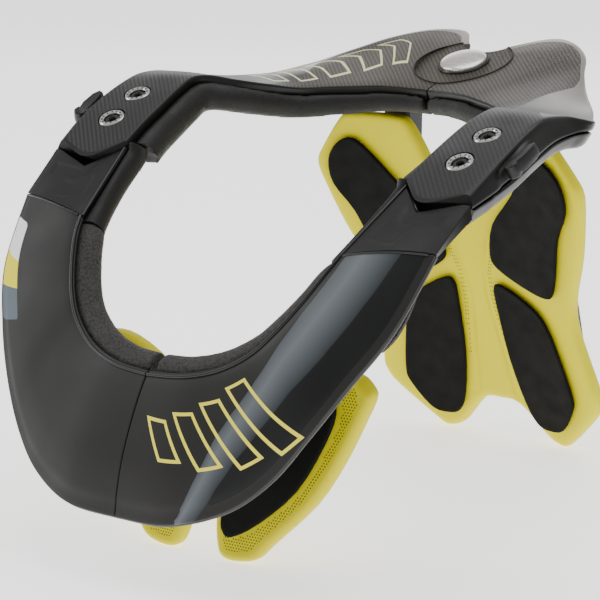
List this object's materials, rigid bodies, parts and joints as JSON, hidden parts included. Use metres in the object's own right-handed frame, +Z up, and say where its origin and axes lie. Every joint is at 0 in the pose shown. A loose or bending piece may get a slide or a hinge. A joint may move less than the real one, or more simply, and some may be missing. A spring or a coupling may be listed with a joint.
{
  "type": "motocross neck brace",
  "caption": "Motocross neck brace: hinged collar with padded neck opening, carbon rear frame, chest pads and a two-lobed back pad on struts.",
  "frame": {"origin": "middle of the brace's box in plan, on the floor under its chest and back pads", "axes": "the wearer faces -Y, the wearer's left is +X, +Z is up"},
  "size_m": [0.2754, 0.3388, 0.2266],
  "materials": {
    "shell_plastic": "matte",
    "link_rubber": "satin",
    "pad_foam": "matte",
    "pad_leatherette": "satin",
    "carbon_cover": "gloss",
    "frame_plastic": "satin",
    "button_silver": "gloss",
    "screw_steel": "satin",
    "eva_yellow": "matte",
    "eva_black": "matte",
    "shoulder_mesh": "matte"
  },
  "bodies": {
    "collar": {"back_inset_lower_left": "eva_black", "back_inset_lower_right": "eva_black", "back_inset_upper_left": "eva_black", "back_inset_upper_right": "eva_black", "back_pad": "eva_yellow", "back_strut_left": "frame_plastic", "back_strut_right": "frame_plastic", "chest_bracket_left": "frame_plastic", "chest_bracket_right": "frame_plastic", "chest_inset_left": "eva_black", "chest_inset_right": "eva_black", "chest_pad_left": "eva_yellow", "chest_pad_right": "eva_yellow", "front_pad_left": "pad_foam", "front_pad_right": "pad_foam", "front_screw_right": "screw_steel", "front_shell_left": "shell_plastic", "front_shell_right": "shell_plastic", "hub_button": "button_silver", "hub_disc": "carbon_cover", "hub_post": "frame_plastic", "link_left": "link_rubber", "link_right": "link_rubber", "lower_frame_right": "frame_plastic", "rear_frame_right": "carbon_cover", "rear_pad_right": "pad_leatherette", "rear_screw_right": "screw_steel", "shoulder_foam_left": "shoulder_mesh", "shoulder_foam_right": "shoulder_mesh", "side_roll_left": "link_rubber", "side_roll_right": "link_rubber", "strut_yoke": "frame_plastic"},
    "left_rear": {"rear_frame_left": "carbon_cover", "lower_frame_left": "frame_plastic", "rear_pad_left": "pad_leatherette", "front_screw_left": "screw_steel", "rear_screw_left": "screw_steel"},
    "left_lever": {"lever_left": "frame_plastic"},
    "right_lever": {"lever_right": "frame_plastic"}
  },
  "joints": [
    {"name": "rear_hinge", "type": "hinge", "parent": "collar", "child": "left_rear", "pos_m": [0, 0.11573, 0.21526], "axis": [0, -0.3239, 0.9461], "range_deg": [0, 50]},
    {"name": "left_lever_pivot", "type": "hinge", "parent": "left_rear", "child": "left_lever", "pos_m": [0.13373, -0.03943, 0.19382], "axis": [0.2683, 0.3908, -0.8805], "range_deg": [0, 60]},
    {"name": "right_lever_pivot", "type": "hinge", "parent": "collar", "child": "right_lever", "pos_m": [-0.13373, -0.03943, 0.19382], "axis": [0.2683, -0.3908, 0.8805], "range_deg": [0, 60]}
  ]
}
